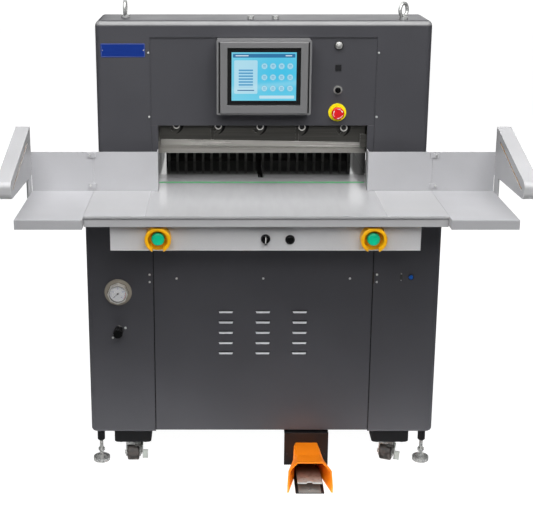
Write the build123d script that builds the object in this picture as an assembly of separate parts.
from build123d import *
import math
import os

# Hydraulic paper cutter, in millimetres.
# X runs to the operator's right, Y to the rear, Z up.
# The origin is on the floor, under the middle of the whole machine.

# Overall sizes
overall_width = 1590.0
overall_depth = 1215.0
arm_overhang = 65.0
table_height = 920.0
table_width = 1097.0
table_thickness = 34.0
throat_width = 728.0
throat_height = 206.0
seat_gap = 0.3
overrun = 5.0

# Stations from the front to the rear
fence_depth = 303.0
housing_setback = 50.0
housing_depth = 196.0
knife_setback = 64.0
cabinet_setback = 190.0
cabinet_depth = 710.0
bar_setback = 46.0

# Upper housing
housing_width = 1077.0
panel_height = 286.0
top_band = 54.0
housing_sheet = 3.0
housing_round = 18.0
housing_foot = 888.0
panel_lap = 14.0
panel_lip = 16.0
strip_width = 31.0
strip_thickness = 5.7
strip_show = 23.0

# Cast side frames and cross beams
cheek_thickness = 110.0
cheek_gap = 1.0
cheek_setback = 67.0
cheek_depth = 120.0
head_height = 162.7
head_setback = 20.0
beam_setback = 37.0
beam_flange = 25.0
beam_web = 30.0
cheek_web = 40.0
cheek_rib = 22.0
cheek_pockets = 4
lower_beam_height = 60.0
lower_beam_drop = 620.0
lower_beam_inset = 5.0
guide_depth = 20.3
guide_width = 32.0
guide_drop = 364.0
pad_width = 80.0
pad_inset = 10.0
pad_rise = 80.0
pad_top_drop = 10.0

# Welded base frame
cabinet_width = 1138.0
cabinet_bottom = 116.0
cabinet_sheet = 2.0
cabinet_round = 20.0
flange_round = 12.0
bottom_flange = 15.0
frame_bar_height = 40.0
frame_bar_depth = 56.0
frame_post = 50.0
frame_wall = 5.0
frame_side_gap = 16.0
rear_rail_drop = 140.0
rear_rail_height = 50.0
rear_pad_inner = 200.0
rear_pad_width = 100.0
caster_spacing = 864.0
caster_block_width = 122.0
caster_block_depth = 80.0
caster_block_height = 42.0
sleeve_radius = 12.5
sleeve_length = 45.0
sleeve_chamfer = 4.0

# Cabinet covers and louvred front panel
front_panel_width = 705.4
front_panel_bottom = 125.0
cover_seam = 0.8
cover_return = 12.0
cover_top_gap = 2.0
louvre_width = 50.0
louvre_height = 11.0
louvre_foot_width = 42.0
louvre_depth = 9.0
louvre_slot = 3.0
louvre_column_pitch = 120.0
louvre_row_pitch = 35.8
louvre_bottom_z = 401.0
louvre_columns = 3
louvre_rows = 5

# Tables
table_lip = 7.0
table_groove = 4.0
table_groove_depth = 8.0
table_rail_inset = 3.0
table_wide_end = 347.0
rear_table_start = 482.0
rear_table_thickness = 20.0
slot_width = 19.0
slot_start = 3.0
slot_end_margin = 30.0
rear_rib_x = 100.0
rear_rib_width = 16.0
rear_rib_height = 30.0
rear_wall_height = 80.0
rear_wall_start = 556.0
stick_length = 688.0
stick_width = 15.4
stick_height = 10.0
side_table_lap = 1.0
side_table_overhang = 40.0
side_table_drop = 30.0
side_table_sheet = 3.0
side_table_seam = 0.5
side_bar_width = 30.0
side_bar_height = 12.0
side_bar_reach = 66.0
side_bar_first = 60.0
side_bar_second = 140.0

# Fences
fence_sheet = 3.0
fence_height = 129.5
fence_inner_x = 340.0
fence_outer_x = 750.0
fence_return = 42.0
fence_foot_width = 20.0
fence_foot_depth = 24.0
tab_height = 15.5
tab_reach = 19.5
tab_lap = 8.0
tab_from_edge = 10.5
tab_screw_out = 11.5

# Guard arms
arm_width = 45.0
arm_back_low = 53.5
arm_back_high = 213.0
arm_front_low = 67.0
arm_front_high = 117.5
arm_round = 20.0
arm_slot_width = 9.0
arm_slot_depth = 8.0
arm_slot_back = 45.0
arm_slot_front = 33.0
arm_slot_back_drop = 39.0
arm_slot_front_drop = 26.5
curtain_bar_depth = 6.0
arm_bracket_sheet = 4.0
arm_bracket_width = 16.7
arm_bracket_low = 24.0
arm_bracket_leg = 50.0

# Lifting eyes and top bolts
eye_x = 448.5
left_eye_depth = 109.0
right_eye_depth = 37.0
left_eye_turn = 90.0
right_eye_turn = 50.0
eye_ring_radius = 21.5
eye_wire_radius = 5.7
eye_collar_radius = 14.0
eye_collar_height = 8.0
eye_shank_radius = 6.0
eye_shank_length = 36.0
top_bolt_x = 40.0
top_bolt_depth = 57.0
top_bolt_flats = 19.0
top_bolt_head = 9.0
top_bolt_radius = 5.0
top_bolt_length = 24.0

# Monitor
monitor_width = 300.0
monitor_height = 237.5
monitor_low = 47.0
monitor_proud = 70.0
monitor_round = 6.0
bezel_width = 278.0
bezel_height = 228.0
bezel_thickness = 5.0
bezel_opening_width = 232.0
bezel_opening_height = 183.0
bezel_opening_raise = 4.0
screen_width = 214.0
screen_height = 166.0
screen_thickness = 3.0
screen_pocket = 12.0

# Round push, key and selector switches
control_x = 241.0
lamp_rise = 261.0
socket_rise = 189.0
key_rise = 117.0
stop_rise = 44.0
ring_radius = 14.5
ring_height = 4.0
ring_hole_radius = 9.2
socket_size = 19.6
lamp_radius = 11.5
lamp_height = 7.0
switch_body_radius = 11.0
switch_body_length = 20.0
panel_hole_radius = 11.3
stop_disc_radius = 29.0
stop_disc_thickness = 3.0
stop_head_radius = 20.0
stop_head_height = 15.0
stop_neck_radius = 14.0
stop_neck_height = 12.0
stop_travel = 5.0
key_knob_radius = 8.9
key_knob_height = 9.0
key_grip_width = 6.0
key_grip_length = 26.0
key_grip_height = 13.0

# Two-hand button bar
bar_width = 950.0
bar_height = 89.0
bar_sheet = 2.0
bar_round = 5.0
button_x = 327.5
button_drop = 79.0
button_radius = 20.0
button_head = 13.0
button_stem_radius = 9.0
button_travel = 6.0
button_collar_radius = 22.0
button_collar_height = 9.0
guard_radius = 40.0
guard_inner_radius = 30.0
guard_flat = 37.0
guard_depth = 38.0
guard_mouth = 33.0
guard_back = 3.0
selector_drop = 84.0
selector_radius = 12.0
selector_height = 8.0
selector_grip_width = 6.0
selector_grip_height = 12.0
jog_x = 75.0
jog_drop = 86.0
jog_radius = 10.5
jog_height = 9.0
jog_travel = 4.0

# Knife, clamp and backgauge
knife_length = 672.0
knife_thickness = 9.7
knife_width = 108.0
knife_bevel = 22.0
knife_left_rise = 129.5
knife_right_rise = 118.5
carrier_thickness = 24.0
carrier_left_rise = 155.7
carrier_top_rise = 330.0
carrier_arm_rise = 232.0
carrier_arm_reach = 134.0
carrier_groove_width = 10.0
carrier_groove_depth = 6.0
carrier_groove_x = 139.0
carrier_groove_middle = -25.0
blade_gap = 0.3
knife_bolt_count = 5
knife_bolt_pitch = 137.0
knife_bolt_middle = -8.0
knife_bolt_rise = 199.0
knife_bolt_head_radius = 13.4
knife_bolt_head = 10.0
knife_bolt_radius = 8.0
knife_bolt_socket_radius = 8.6
knife_bolt_socket = 6.5
knife_bolt_gap = 0.2
knife_slot_length = 30.0
knife_slot_depth = 5.0
knife_slot_width = 14.0
knife_slot_lean = 45.0
guide_block_width = 31.0
guide_block_height = 43.0
guide_block_rise = 130.0
guide_block_depth = 11.0
knife_draw = 22.0
pivot_x = 400.0
pivot_rise = 280.0
pivot_radius = 15.0
pivot_clearance = 0.06
eye_block_width = 56.0
eye_block_height = 60.0
eye_block_thickness = 18.0
eye_block_gap = 1.0
pull_rod_radius = 9.0
knife_piston_radius = 20.0
knife_piston_height = 26.0
barrel_wall = 6.0
barrel_clearance = 0.08
knife_barrel_top = 400.0
knife_barrel_length = 240.0
gland_height = 24.0
lug_width = 34.0
lug_height = 60.0
clamp_gap = 1.5
clamp_thickness = 45.0
clamp_rise = 101.0
clamp_height = 140.0
clamp_width = 688.0
clamp_lip_height = 16.0
clamp_lip_inset = 3.0
clamp_tongue_gap = 0.4
clamp_rod_radius = 9.0
yoke_drop = 252.0
yoke_height = 40.0
yoke_depth = 28.0
yoke_rod_radius = 16.0
piston_gap = 1.0
clamp_piston_radius = 36.0
clamp_piston_height = 30.0
clamp_barrel_length = 195.0
gauge_setback = 305.0
gauge_fin_count = 22
gauge_fin_pitch = 30.9
gauge_fin_width = 8.7
gauge_fin_depth = 30.0
gauge_height = 150.0
gauge_plate = 15.0
gauge_margin = 6.0
gauge_foot_height = 12.0
gauge_tongue_gap = 0.5
gauge_tongue_length = 60.0
gauge_float = 0.3
nut_width = 50.0
nut_height = 45.0
nut_length = 56.0
nut_setback = 3.5
screw_drop = 58.0
screw_radius = 10.0
screw_clearance = 0.06
screw_end_gap = 8.0
bearing_width = 60.0
bearing_length = 24.0
bearing_drop = 24.0
bearing_end_gap = 4.0
pulley_radius = 24.0
pulley_width = 14.0

# Cabinet fittings
gauge_x = 468.0
gauge_drop = 272.5
gauge_flange_radius = 44.0
gauge_flange_thickness = 3.0
gauge_case_radius = 30.5
gauge_case_wall = 3.5
gauge_case_proud = 25.0
gauge_case_behind = 30.0
gauge_facets = 8
gauge_dial_depth = 9.0
gauge_lens_thickness = 2.0
gauge_lens_inset = 1.5
gauge_lens_gap = 0.3
needle_length = 20.0
needle_width = 1.6
needle_thickness = 0.8
needle_hub_radius = 3.0
needle_hub_height = 2.2
needle_pin_radius = 1.0
needle_clearance = 0.05
needle_rise = 1.5
gauge_rest_lean = 130.0
valve_drop = 399.0
valve_base_radius = 12.0
valve_base_height = 14.0
valve_body_behind = 34.0
valve_spindle_radius = 4.0
valve_spindle_clearance = 0.05
valve_knob_radius = 15.5
valve_knob_length = 34.0
valve_knob_gap = 1.0
valve_flutes = 8
valve_flute_radius = 4.0
fitting_drop = 221.0
port_x = 444.0
port_radius = 3.3
port_length = 16.0
port_screw_gap = 1.4
port_height = 5.0
port_hole_radius = 2.6
reset_x = 475.0
reset_ring_radius = 9.6
reset_ring_height = 2.5
reset_radius = 7.0
reset_hole_radius = 7.3
reset_proud = 2.0
hinge_plate_height = 38.0
hinge_plate_width = 6.0
hinge_plate_thickness = 1.5
hinge_plate_drop = 243.0

# Small screws on the covers
screw_head_radius = 3.6
screw_head_height = 2.2
screw_shank_radius = 1.9
screw_hole_radius = 2.2
screw_shank_length = 2.6
cover_screw_x = 369.0
cover_screw_top_rise = 237.0
cover_screw_rise = 29.0
panel_screw_x = 279.0
panel_screw_drop = 226.0
corner_screw_x = 365.7
corner_screw_drop = 13.0
corner_screw_raise = 12.0
valve_screw_x = 447.0
valve_plug_x = 489.0
valve_plug_drop = 430.0

# Pedal
pedal_x = 148.5
pedal_plate_width = 147.0
pedal_plate_thickness = 3.0
pedal_plate_setback = 180.0
pedal_plate_bottom = 1.0
pedal_shelf_depth = 66.0
pedal_base_width = 92.0
pedal_base_front = -10.0
pedal_base_slot = 22.0
pedal_bolt_x = 65.0
pedal_bolt_z = 41.0
hood_wall = 3.5
hood_floor_gap = 3.3
hood_back_width = 75.0
hood_back_top = 83.0
hood_front_width = 146.0
hood_front_top = 104.0
hood_lip_width = 85.0
hood_chamfer_drop = 13.0
hood_shoulder_drop = 30.0
hood_lip_setback = 20.0
hood_neck_share = 0.25
treadle_width = 78.0
treadle_back = 150.0
treadle_front = 2.0
treadle_thickness = 5.0
treadle_front_z = 34.0
treadle_pin_z = 19.0
treadle_pin_radius = 4.0
treadle_pin_clearance = 0.06
treadle_barrel_radius = 8.0
treadle_ear_thickness = 4.0
treadle_ear_gap = 0.5
treadle_ear_height = 26.0
treadle_ear_depth = 18.0
treadle_notch_width = 18.0
treadle_heel_width = 56.0
treadle_heel_length = 34.0
treadle_notch_depth = 8.0

# Casters and levelling feet
wheel_radius = 26.0
wheel_width = 38.0
wheel_lift = 1.5
wheel_round = 4.0
wheel_hub_radius = 12.0
wheel_hub_width = 40.0
axle_radius = 4.0
axle_clearance = 0.06
fork_gap = 0.5
fork_leg = 4.0
fork_leg_width = 22.0
fork_round = 2.0
fork_trail = 24.0
fork_disc_radius = 26.0
fork_disc_height = 5.0
caster_plate_thickness = 4.0
axle_nut_radius = 7.0
axle_nut_height = 4.5
left_swivel_turn = 0.0
right_swivel_turn = -22.0
kingpin_radius = 6.0
kingpin_length = 14.0
kingpin_clearance = 0.06
bridge_thickness = 3.0
bridge_height = 30.0
bridge_clearance = 3.0
bridge_round = 3.0
brake_drop = 6.0
brake_pin_radius = 2.0
brake_eye_radius = 4.5
brake_gap = 0.3
brake_arm_width = 8.2
brake_arm_drop = 24.0
brake_arm_front = 21.0
brake_arm_back = 12.0
brake_pad_width = 18.0
brake_pad_lap = 1.0
brake_pad_out = 16.0
brake_pad_foot_out = 26.0
brake_pad_drop = 18.0
brake_pad_foot_drop = 43.0
brake_thickness = 4.0
brake_shoe_start = 10.0
brake_shoe_depth = 9.0
brake_shoe_width = 28.0
foot_x = 540.0
foot_setback = 222.0
foot_disc_radius = 27.5
foot_disc_height = 12.0
foot_dome_height = 8.0
foot_stud_radius = 6.0
foot_stud_top = 140.0
foot_thread_clearance = 0.3
foot_nut_flats = 19.0
foot_nut_height = 10.0
foot_nut_z = 34.0

# Hydraulic unit and rear covers
tank_width = 360.0
tank_depth = 240.0
tank_height = 190.0
tank_x = -90.0
tank_from_back = 40.0
motor_radius = 62.0
motor_length = 190.0
pump_radius = 36.0
pump_length = 70.0
tank_cap_radius = 22.0
tank_cap_height = 18.0
shelf_thickness = 4.0
shelf_depth = 300.0
motor_foot_width = 90.0
gauge_motor_radius = 42.0
gauge_motor_length = 110.0
gauge_motor_drop = 190.0
gauge_motor_bracket = 8.0
belt_width = 9.0
belt_gap = 0.3
belt_thickness = 2.5
box_width = 80.0
box_height = 300.0
box_depth = 240.0
box_z = 420.0
box_strap = 20.0
rear_vent_count = 8
rear_vent_width = 160.0
rear_vent_height = 6.0
rear_vent_pitch = 16.0
rear_vent_z = 360.0
rear_vent_x = 250.0
tray_width = 150.0
tray_sheet = 2.0
tray_drop = 76.0
gland_radius = 14.0
gland_length = 18.0
gland_bore = 6.5
gland_x = 380.0
gland_z = 240.0
gland_nut_length = 8.0
gland_nut_flats = 26.0

# Places worked out from the sizes above
half = 0.5
rear_y = overall_depth * half
table_front = arm_overhang - rear_y
arm_front_y = -rear_y
fence_y = table_front + fence_depth
housing_front = fence_y + housing_setback
housing_back = housing_front + housing_depth
knife_y = housing_front + knife_setback
carrier_back = knife_y - knife_thickness - blade_gap
carrier_front = carrier_back - carrier_thickness
lower_beam_z = table_height - lower_beam_drop
clamp_front = knife_y + clamp_gap
clamp_back = clamp_front + clamp_thickness
cabinet_front = table_front + cabinet_setback
cabinet_back = cabinet_front + cabinet_depth
bar_front = table_front + bar_setback
throat_half = throat_width * half
throat_top = table_height + throat_height
cover_screw_high = throat_top + cover_screw_top_rise
panel_top = throat_top + panel_height
housing_top = panel_top + top_band
table_half = table_width * half
table_under = table_height - table_thickness
cabinet_top = table_under - cover_top_gap
cabinet_half = cabinet_width * half
frame_low = cabinet_bottom + cabinet_sheet + seat_gap
frame_top = frame_low + frame_bar_height
frame_front = cabinet_front + frame_side_gap
frame_back = cabinet_back - frame_side_gap
cheek_front = housing_front + cheek_setback
cheek_back = cheek_front + cheek_depth
cheek_inner = throat_half + cheek_gap
cheek_outer = cheek_inner + cheek_thickness
cheek_top = housing_top - housing_sheet - seat_gap
head_low = cheek_top - head_height
head_front = housing_front + head_setback
bar_low = table_under - seat_gap - bar_height
side_table_inner = table_half + side_table_seam
side_table_front = table_front - side_table_overhang
arm_inner = overall_width * half - arm_width
side_table_outer = arm_inner + side_table_lap
caster_x = caster_spacing * half
caster_front_y = frame_front + caster_block_depth * half
caster_rear_y = frame_back - caster_block_depth * half
caster_block_low = frame_low - caster_block_height
foot_front_y = table_front + foot_setback
foot_rear_y = cabinet_back - (foot_setback - cabinet_setback)
panel_face = housing_front + housing_sheet + seat_gap
button_z = table_height - button_drop
selector_z = table_height - selector_drop
jog_z = table_height - jog_drop
screw_z = table_height - screw_drop
gauge_motor_z = table_height - gauge_motor_drop
yoke_z = table_height - yoke_drop
pad_low_z = table_height + pad_rise
guide_low_z = table_height - guide_drop
rear_rail_z = table_height - rear_rail_drop
lamp_z = throat_top + lamp_rise
socket_z = throat_top + socket_rise
key_z = throat_top + key_rise
stop_z = throat_top + stop_rise
cover_screw_low = throat_top + cover_screw_rise
gauge_z = cabinet_top - gauge_drop
valve_z = cabinet_top - valve_drop
fitting_z = cabinet_top - fitting_drop
hinge_plate_z = cabinet_top - hinge_plate_drop
panel_screw_z = cabinet_top - panel_screw_drop
valve_plug_z = cabinet_top - valve_plug_drop
draw_angle = math.atan2(knife_draw, knife_left_rise)


def block(x0, x1, y0, y1, z0, z1):
    """A box between two opposite corners."""
    middle = Pos((x0 + x1) * half, (y0 + y1) * half, (z0 + z1) * half)
    return middle * Box(abs(x1 - x0), abs(y1 - y0), abs(z1 - z0))


def rod_z(radius, x, y, z0, z1):
    """A round bar along Z."""
    return Pos(x, y, (z0 + z1) * half) * Cylinder(radius, abs(z1 - z0))


def rod_y(radius, x, z, y0, y1):
    """A round bar along Y."""
    return Pos(x, (y0 + y1) * half, z) * Rot(90, 0, 0) * Cylinder(radius, abs(y1 - y0))


def rod_x(radius, y, z, x0, x1):
    """A round bar along X."""
    return Pos((x0 + x1) * half, y, z) * Rot(0, 90, 0) * Cylinder(radius, abs(x1 - x0))


def slab_x(points, x0, x1):
    """An outline of (y, z) points, carried from x0 to x1."""
    wire = Polyline(*[(x0, y, z) for y, z in points], close=True)
    return extrude(make_face(wire), amount=x1 - x0, dir=(1, 0, 0))


def slab_y(points, y0, y1):
    """An outline of (x, z) points, carried from y0 to y1."""
    wire = Polyline(*[(x, y0, z) for x, z in points], close=True)
    return extrude(make_face(wire), amount=y1 - y0, dir=(0, 1, 0))


def hexagon_z(flats, x, y, z0, z1):
    """A hexagonal bar along Z, measured across its flats."""
    profile = RegularPolygon(flats * half, 6, major_radius=False)
    return Pos(x, y, z0) * extrude(profile, amount=z1 - z0)


def hexagon_y(flats, x, z, y0, y1):
    """A hexagonal bar along Y, measured across its flats."""
    profile = RegularPolygon(flats * half, 6, major_radius=False)
    return Pos(x, y1, z) * Rot(90, 0, 0) * extrude(profile, amount=y1 - y0)


def mirrored(shape):
    """The same shape on the other side of the middle plane."""
    return mirror(shape, about=Plane.YZ)


def on_side(shape, side):
    """A right-hand shape as it is, or mirrored for the left."""
    return shape if side > 0 else mirrored(shape)


def along_draw(shape, x, y, z):
    """A vertical shape about the origin, leaned along the knife's slanted path."""
    return Pos(x, y, z) * Rot(0, math.degrees(draw_angle), 0) * shape


def base_frame():
    """Welded frame: two long beams, cross beams, posts, caster blocks and foot sleeves."""
    x_in = caster_x - caster_block_width * half
    x_out = caster_x + caster_block_width * half
    reach = foot_x + sleeve_radius
    body = block(x_in, x_out, frame_front, frame_back, frame_low, frame_top)
    body += mirrored(body)
    for y_edge, inward in ((frame_front, 1), (frame_back, -1)):
        y_in = y_edge + inward * frame_bar_depth
        body += block(-reach, reach, y_edge, y_in, frame_low, frame_top)
        for x in (-foot_x, foot_x):
            x_post = x - math.copysign(frame_post * half - sleeve_radius, x)
            y_post = y_edge + inward * frame_post
            top = table_under if inward > 0 else rear_rail_z
            post = block(x_post - frame_post * half, x_post + frame_post * half,
                         y_edge, y_post, frame_low, top)
            wide = frame_post * half - frame_wall
            y_middle = (y_edge + y_post) * half
            post -= block(x_post - wide, x_post + wide, y_middle - wide, y_middle + wide,
                          frame_top, top - frame_wall)
            body += post
        for x in (-caster_x, caster_x):
            y_block = y_edge + inward * caster_block_depth
            body += block(x - caster_block_width * half, x + caster_block_width * half,
                          y_edge, y_block, caster_block_low, frame_low)
    rail_front = frame_back - frame_post
    body += block(-foot_x, foot_x, rail_front, frame_back, rear_rail_z, rear_rail_z + rear_rail_height)
    pad_top = table_height - rear_table_thickness
    for side in (-1, 1):
        pad = block(rear_pad_inner, rear_pad_inner + rear_pad_width, rail_front, frame_back,
                    rear_rail_z, pad_top)
        body += on_side(pad, side)
    for x in (-foot_x, foot_x):
        for y in (foot_front_y, foot_rear_y):
            sleeve = rod_z(sleeve_radius, x, y, frame_low - sleeve_length, frame_low)
            body += chamfer(sleeve.edges().group_by(Axis.Z)[0], sleeve_chamfer)
            bore = foot_stud_radius + foot_thread_clearance
            body -= rod_z(bore, x, y, frame_low - sleeve_length - overrun, frame_top - cabinet_sheet)
    return body


def side_frames():
    """Two cast cheeks that guide the clamp and the knife, and the two beams between them."""
    cheek = block(cheek_inner, cheek_outer, cheek_front, cheek_back, frame_top, head_low)
    cheek += block(cheek_inner, cheek_outer, head_front, cheek_back, head_low, cheek_top)
    middle = (clamp_front + clamp_back) * half
    cheek -= block(cheek_inner - overrun, cheek_inner + guide_depth,
                   middle - guide_width * half, middle + guide_width * half,
                   guide_low_z, head_low)
    pitch = (head_low - frame_top) / cheek_pockets
    for number in range(cheek_pockets):
        low = frame_top + number * pitch + cheek_rib
        cheek -= block(cheek_inner + cheek_web, cheek_outer + overrun, cheek_front + cheek_rib,
                       cheek_back - cheek_rib, low, low + pitch - cheek_rib)
    pad_x = cheek_inner + pad_inset
    cheek += block(pad_x, pad_x + pad_width, carrier_back + seat_gap, cheek_front,
                   pad_low_z, head_low - pad_top_drop)
    right = cheek - rod_z(eye_shank_radius + seat_gap, eye_x, housing_front + right_eye_depth,
                          housing_top - eye_shank_length - overrun, housing_top)
    left = cheek - rod_z(eye_shank_radius + seat_gap, eye_x, housing_front + left_eye_depth,
                         housing_top - eye_shank_length - overrun, housing_top)
    beam = block(-cheek_inner, cheek_inner, housing_front + beam_setback, cheek_back,
                 cheek_top - beam_flange, cheek_top)
    beam += block(-cheek_inner, cheek_inner, cheek_back - beam_web, cheek_back, head_low, cheek_top)
    for x in (-top_bolt_x, top_bolt_x):
        beam -= rod_z(top_bolt_radius + seat_gap, x, housing_front + top_bolt_depth,
                      housing_top - top_bolt_length - overrun, housing_top)
    lower = block(-cheek_inner, cheek_inner, cheek_front + lower_beam_inset,
                  cheek_back - lower_beam_inset, lower_beam_z, lower_beam_z + lower_beam_height)
    return [right, mirrored(left), beam, lower]


def cabinet_cover(side):
    """Side cover of the cabinet: front strip, side wall and narrow folded edges."""
    inner = front_panel_width * half + cover_seam
    outer = block(inner, cabinet_half, cabinet_front, cabinet_back, cabinet_bottom, cabinet_top)
    upright = outer.edges().filter_by(Axis.Z).group_by(Axis.X)[-1].group_by(Axis.Y)[0]
    outer = fillet(upright, cabinet_round)
    lower = outer.edges().group_by(Axis.Z)[0].filter_by(Axis.Y).group_by(Axis.X)[-1]
    outer = fillet(lower, flange_round)
    hollow = block(inner - overrun, cabinet_half - cabinet_sheet, cabinet_front + cabinet_sheet,
                   cabinet_back + overrun, cabinet_bottom + cabinet_sheet, cabinet_top + overrun)
    upright = hollow.edges().filter_by(Axis.Z).group_by(Axis.X)[-1].group_by(Axis.Y)[0]
    hollow = fillet(upright, cabinet_round - cabinet_sheet)
    lower = hollow.edges().group_by(Axis.Z)[0].filter_by(Axis.Y).group_by(Axis.X)[-1]
    hollow = fillet(lower, flange_round - cabinet_sheet)
    shell = outer - hollow
    shell -= block(inner - overrun, cabinet_half - bottom_flange, cabinet_front + bottom_flange,
                   cabinet_back + overrun, cabinet_bottom - overrun, cabinet_bottom + cabinet_sheet + overrun)
    roof_front = housing_back + cabinet_sheet
    shell += block(throat_half + cabinet_sheet, cabinet_half - cabinet_sheet, roof_front, cabinet_back,
                   cabinet_top - cabinet_sheet, cabinet_top)
    for x, z, radius in cover_holes(side):
        shell -= rod_y(radius, x, z, cabinet_front - overrun, cabinet_front + cabinet_sheet + overrun)
    return on_side(shell, side)


def cover_holes(side):
    """Places and radii of the holes in one cabinet cover, as if it were the right-hand one."""
    if side > 0:
        return [(port_x, fitting_z, port_hole_radius), (reset_x, fitting_z, reset_hole_radius)]
    return [(gauge_x, gauge_z, gauge_case_radius - gauge_case_wall + seat_gap),
            (gauge_x, valve_z, valve_base_radius - cabinet_sheet)]


def louvre_places():
    """Middles of the pressed louvres, as (x, z) pairs."""
    first = -(louvre_columns - 1) * half * louvre_column_pitch
    return [(first + column * louvre_column_pitch, louvre_bottom_z + row * louvre_row_pitch)
            for column in range(louvre_columns) for row in range(louvre_rows)]


def front_panel():
    """Middle panel of the cabinet with louvres pressed inward, and folded side edges."""
    x = front_panel_width * half
    y = cabinet_front
    panel = block(-x, x, y, y + cabinet_sheet, front_panel_bottom, cabinet_top)
    for side in (-1, 1):
        fold = block(x - cabinet_sheet, x, y, y + cover_return, front_panel_bottom, cabinet_top)
        panel += on_side(fold, side)
    for mid_x, mid_z in louvre_places():
        low = mid_z - louvre_height * half
        top = low + louvre_height
        foot = louvre_foot_width * half
        head = louvre_width * half
        window = [(mid_x - foot, low), (mid_x + foot, low), (mid_x + head, top), (mid_x - head, top)]
        panel -= slab_y(window, y - overrun, y + cabinet_sheet + overrun)
        back = y + louvre_depth
        scoop = [(y, low), (back, top - louvre_slot), (back + cabinet_sheet, top - louvre_slot),
                 (y + cabinet_sheet, low - cabinet_sheet), (y + cabinet_sheet * half, low - cabinet_sheet)]
        panel += slab_x(scoop, mid_x - head, mid_x + head)
    return panel


def front_table():
    """Cast front table with a lipped front rail and the cutting stick's groove."""
    narrow = throat_half - seat_gap
    y = table_front
    table = block(-table_half, table_half, y, y + table_wide_end, table_under, table_height)
    table += block(-narrow, narrow, y, y + rear_table_start - seat_gap, table_under, table_height)
    groove_top = table_height - table_lip
    groove_low = groove_top - table_groove
    side = table_half + overrun
    table -= block(-side, side, y - overrun, y + table_groove_depth, groove_low, groove_top)
    table -= block(-side, side, y - overrun, y + table_rail_inset, table_under - overrun, groove_low)
    stick_half = stick_length * half + seat_gap
    stick_side = stick_width * half + seat_gap
    table -= block(-stick_half, stick_half, knife_y - stick_side, knife_y + stick_side,
                   table_height - stick_height - seat_gap, table_height + overrun)
    return table


def cutting_stick():
    """Replaceable strip under the knife's edge."""
    x = stick_length * half
    y = stick_width * half
    return block(-x, x, knife_y - y, knife_y + y, table_height - stick_height - seat_gap,
                 table_height - seat_gap)


def rear_table():
    """Slotted rear table with ribs, and the two bearing blocks of the leadscrew."""
    x = throat_half - seat_gap
    start = table_front + rear_table_start
    under = table_height - rear_table_thickness
    table = block(-x, x, start, rear_y, under, table_height)
    slot_half = slot_width * half
    table -= block(-slot_half, slot_half, start + slot_start, rear_y - slot_end_margin,
                   under - overrun, table_height + overrun)
    for side in (-1, 1):
        rib = block(rear_rib_x - rear_rib_width * half, rear_rib_x + rear_rib_width * half,
                    cheek_back + rear_rib_width, rear_y - rear_rib_width, under - rear_rib_height, under)
        table += on_side(rib, side)
    bearings = []
    for y in screw_bearings():
        bearing = block(-bearing_width * half, bearing_width * half, y, y + bearing_length,
                        screw_z - bearing_drop, under)
        bearings.append(bearing - rod_y(screw_radius + screw_clearance, 0, screw_z, y - overrun,
                                        y + bearing_length + overrun))
    return [table] + bearings


def screw_bearings():
    """Front faces of the leadscrew's two bearing blocks."""
    start = table_front + rear_table_start
    return [start + screw_end_gap, rear_y - bearing_end_gap - bearing_length]


def side_table(side):
    """Folded side table and the two bars that carry it under the front table."""
    x0, x1 = side_table_inner, side_table_outer
    low = table_height - side_table_drop
    sheet = side_table_sheet
    pan = block(x0, x1, side_table_front, fence_y, low, table_height)
    pan = fillet(pan.edges().group_by(Axis.Z)[-1], sheet * half)
    pan -= block(x0 + sheet, x1 - sheet, side_table_front + sheet, fence_y - sheet,
                 low - overrun, table_height - sheet)
    solids = [on_side(pan, side)]
    for place in (side_bar_first, side_bar_second):
        y = table_front + place
        bar = block(x0 - side_bar_reach, x1 - sheet - seat_gap, y, y + side_bar_width,
                    table_under - side_bar_height, table_under)
        bar += block(x0 + sheet + seat_gap, x1 - sheet - seat_gap, y, y + side_bar_width,
                     table_under - seat_gap, table_height - sheet)
        bar -= block(x0 - side_bar_reach - overrun, x0 + sheet + seat_gap, y - overrun,
                     y + side_bar_width + overrun, table_under, table_height)
        solids.append(on_side(bar, side))
    return solids


def fence(side):
    """Sheet fence: inner panel with return and foot, outer panel, and two joining tabs."""
    top = table_height + fence_height
    foot_z = table_height + seat_gap
    joint = table_half
    y = fence_y
    inner = block(fence_inner_x, joint, y, y + fence_sheet, foot_z, top)
    inner += block(fence_inner_x, fence_inner_x + fence_sheet, y, y + fence_return, foot_z, top)
    foot_front = y + fence_return - fence_foot_depth
    inner += block(fence_inner_x, fence_inner_x + fence_foot_width, foot_front, y + fence_return,
                   foot_z, foot_z + fence_sheet)
    for middle in tab_heights():
        tab = block(joint - tab_lap, joint + tab_reach, y - fence_sheet, y,
                    middle - tab_height * half, middle + tab_height * half)
        ends = tab.edges().filter_by(Axis.Y).group_by(Axis.X)[-1]
        inner += fillet(ends, tab_height * half * half)
    outer_y = y + seat_gap
    low = table_height - side_table_drop + side_table_sheet
    outer = block(joint + side_table_seam, fence_outer_x, outer_y, outer_y + fence_sheet, low, top)
    return [on_side(inner, side), on_side(outer, side)]


def tab_heights():
    """Middles of the two joining tabs of a fence."""
    edge = tab_from_edge
    return [table_height + fence_height - edge, table_height + edge + tab_lap]


def arm_corners():
    """Corners of a guard arm's side, as (y, z) points from the back low corner round."""
    return [(fence_y, table_height + arm_back_low), (arm_front_y, table_height + arm_front_low),
            (arm_front_y, table_height + arm_front_high), (fence_y, table_height + arm_back_high)]


def curtain_line():
    """Middle line of the light curtain in the arm's inner face, as two (y, z) points."""
    return [(fence_y - arm_slot_back, table_height + arm_back_high - arm_slot_back_drop),
            (arm_front_y + arm_slot_front, table_height + arm_front_high - arm_slot_front_drop)]


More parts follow.
